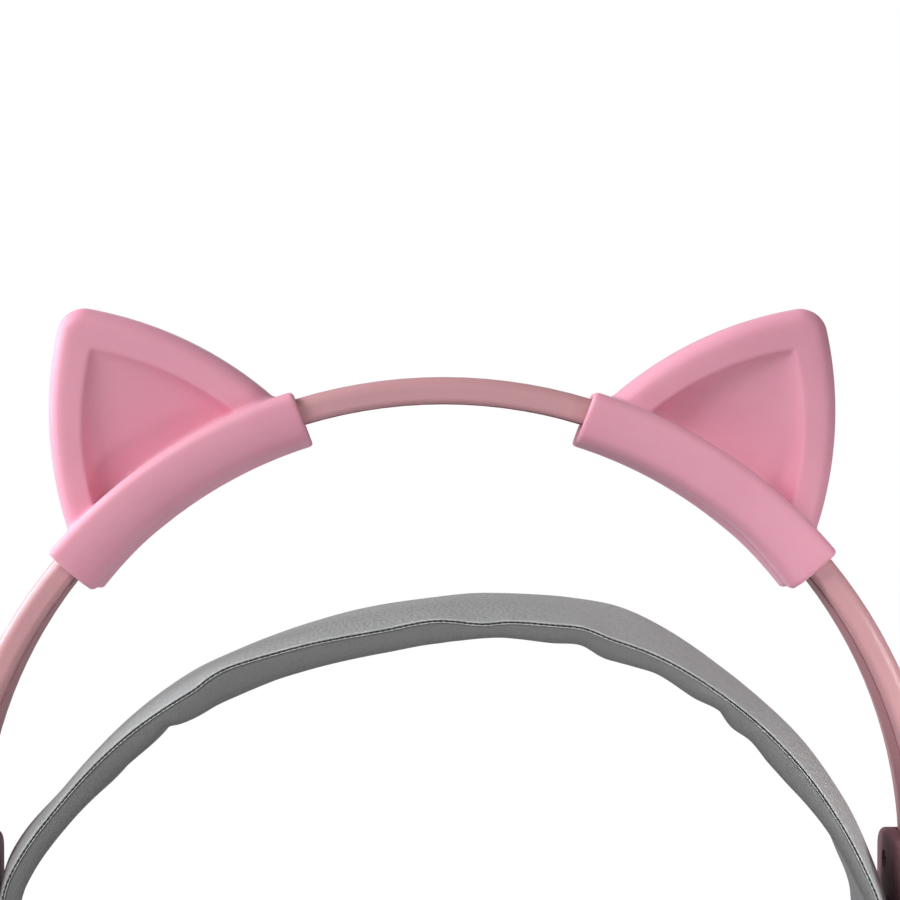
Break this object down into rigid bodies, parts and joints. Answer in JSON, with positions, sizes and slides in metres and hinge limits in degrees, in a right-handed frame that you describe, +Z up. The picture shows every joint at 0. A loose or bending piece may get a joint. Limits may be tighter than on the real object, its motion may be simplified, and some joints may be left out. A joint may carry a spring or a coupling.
{
  "type": "gaming headset",
  "caption": "Over-ear headset with cat-ear covers on the headband arch, a self-adjusting padded strap, swivelling cups and a boom microphone.",
  "frame": {"origin": "the crown point, where the top of the wearer's head meets the middle of the strap's underside", "axes": "+Z up, -Y forward in the direction the wearer looks, +X to the wearer's left, from one cup to the other"},
  "size_m": [0.2026, 0.168, 0.2588],
  "materials": {
    "band_paint": "satin rose pink paint over moulded plastic",
    "band_trim": "satin rose pink, a shade darker",
    "spring_steel": "bare spring steel",
    "ribbon_lead": "insulated flat lead",
    "silicone": "matte bubblegum pink silicone",
    "strap_leather": "fine-grained grey artificial leather",
    "strap_lining": "smooth darker grey lining over foam",
    "rivet_steel": "plain steel",
    "mauve_plastic": "dark mauve moulded plastic",
    "elastic": "black rubber cord",
    "screw_steel": "blackened cross-head screws",
    "yoke_paint": "satin rose pink paint",
    "pin_steel": "turned steel",
    "cup_plastic": "satin pink moulded plastic",
    "plate_gloss": "paler pink, semi-gloss, turned grooves",
    "light_guide": "milky clear light guide",
    "board": "green circuit board",
    "baffle_plastic": "dark grey moulded plastic",
    "driver_metal": "stamped basket and magnet",
    "cone_film": "clear film cone",
    "screen_cloth": "thin acoustic cloth",
    "cushion_leather": "grey artificial leather over foam",
    "switch_plastic": "black switch body",
    "socket_plastic": "black socket body",
    "wheel_plastic": "dark mauve, knurled",
    "button_plastic": "pink plastic, worn smooth",
    "mic_plastic": "satin pink plastic",
    "boom_rubber": "dark mauve rubber sleeve",
    "capsule_metal": "bare can",
    "foam": "open-cell foam"
  },
  "bodies": {
    "headband": {"arch_shell": "band_paint", "arch_cover": "band_trim", "arch_spring": "spring_steel", "crossover_wire": "ribbon_lead", "housing_outer_left": "mauve_plastic", "housing_inner_left": "mauve_plastic", "housing_screws_left": "screw_steel", "elastic_cords_left": "elastic", "housing_outer_right": "mauve_plastic", "housing_inner_right": "mauve_plastic", "housing_screws_right": "screw_steel", "elastic_cords_right": "elastic"},
    "strap": {"strap_leather": "strap_leather", "strap_padding": "strap_lining", "strap_rivets": "rivet_steel", "strap_tongue_left": "mauve_plastic", "strap_tongue_right": "mauve_plastic"},
    "ear_left": {"cat_ear_left": "silicone"},
    "ear_right": {"cat_ear_right": "silicone"},
    "yoke_left": {"yoke_left": "yoke_paint", "swivel_pin_left": "pin_steel", "swivel_clip_left": "pin_steel"},
    "yoke_right": {"yoke_right": "yoke_paint", "swivel_pin_right": "pin_steel", "swivel_clip_right": "pin_steel"},
    "cup_left": {"cup_shell_left": "cup_plastic", "face_plate_left": "plate_gloss", "light_ring_left": "light_guide", "light_board_left": "board", "cup_baffle_left": "baffle_plastic", "driver_left": "driver_metal", "diaphragm_left": "cone_film", "ear_screen_left": "screen_cloth", "ear_cushion_left": "cushion_leather", "cup_screws_left": "screw_steel", "pivot_pins_left": "pin_steel", "button_switch_left": "switch_plastic", "circuit_board": "board", "jack_socket": "socket_plastic", "volume_pot": "switch_plastic"},
    "cup_right": {"cup_shell_right": "cup_plastic", "face_plate_right": "plate_gloss", "light_ring_right": "light_guide", "light_board_right": "board", "cup_baffle_right": "baffle_plastic", "driver_right": "driver_metal", "diaphragm_right": "cone_film", "ear_screen_right": "screen_cloth", "ear_cushion_right": "cushion_leather", "cup_screws_right": "screw_steel", "pivot_pins_right": "pin_steel", "button_switch_right": "switch_plastic"},
    "microphone": {"mic_hub": "mic_plastic", "mic_boom": "boom_rubber", "mic_housing": "mic_plastic", "mic_capsule": "capsule_metal", "mic_windscreen": "foam"},
    "volume_wheel": {"volume_wheel": "wheel_plastic"},
    "mute_button": {"mute_button": "button_plastic"},
    "light_button": {"light_button": "button_plastic"}
  },
  "joints": [
    {"name": "strap_slide", "type": "slide", "parent": "headband", "child": "strap", "axis": [0, 0, 1], "range_m": [0, 0.013], "stiffness_N_per_m": 150, "springref_m": -0.01, "deforming": ["elastic_cords_left", "elastic_cords_right"]},
    {"name": "ear_left_slide", "type": "hinge", "parent": "headband", "child": "ear_left", "pos_m": [0, 0, -0.0459], "axis": [0, 1, 0], "range_deg": [-5, 5]},
    {"name": "swivel_left", "type": "hinge", "parent": "headband", "child": "yoke_left", "pos_m": [0.092, 0, -0.0799], "axis": [0, 0, 1], "range_deg": [-12, 12]},
    {"name": "tilt_left", "type": "hinge", "parent": "yoke_left", "child": "cup_left", "pos_m": [0.092, 0, -0.1279], "axis": [0, 1, 0], "range_deg": [-10, 10]},
    {"name": "ear_right_slide", "type": "hinge", "parent": "headband", "child": "ear_right", "pos_m": [0, 0, -0.0459], "axis": [0, 1, 0], "range_deg": [-5, 5]},
    {"name": "swivel_right", "type": "hinge", "parent": "headband", "child": "yoke_right", "pos_m": [-0.092, 0, -0.0799], "axis": [0, 0, 1], "range_deg": [-12, 12]},
    {"name": "tilt_right", "type": "hinge", "parent": "yoke_right", "child": "cup_right", "pos_m": [-0.092, 0, -0.1279], "axis": [0, 1, 0], "range_deg": [-10, 10]},
    {"name": "mic_swing", "type": "hinge", "parent": "cup_left", "child": "microphone", "pos_m": [0.078, -0.0395, -0.1464], "axis": [-1, 0, 0], "range_deg": [-10, 100]},
    {"name": "volume_turn", "type": "hinge", "parent": "cup_left", "child": "volume_wheel", "pos_m": [0.073, 0.03227, -0.14294], "axis": [1, 0, 0], "range_deg": [-140, 140]},
    {"name": "mute_press", "type": "slide", "parent": "cup_left", "child": "mute_button", "axis": [0, -0.4695, 0.8829], "range_m": [0, 0.0008], "stiffness_N_per_m": 800, "springref_m": -0.0015},
    {"name": "light_press", "type": "slide", "parent": "cup_right", "child": "light_button", "axis": [0, -0.4695, 0.8829], "range_m": [0, 0.0008], "stiffness_N_per_m": 800, "springref_m": -0.0015}
  ]
}
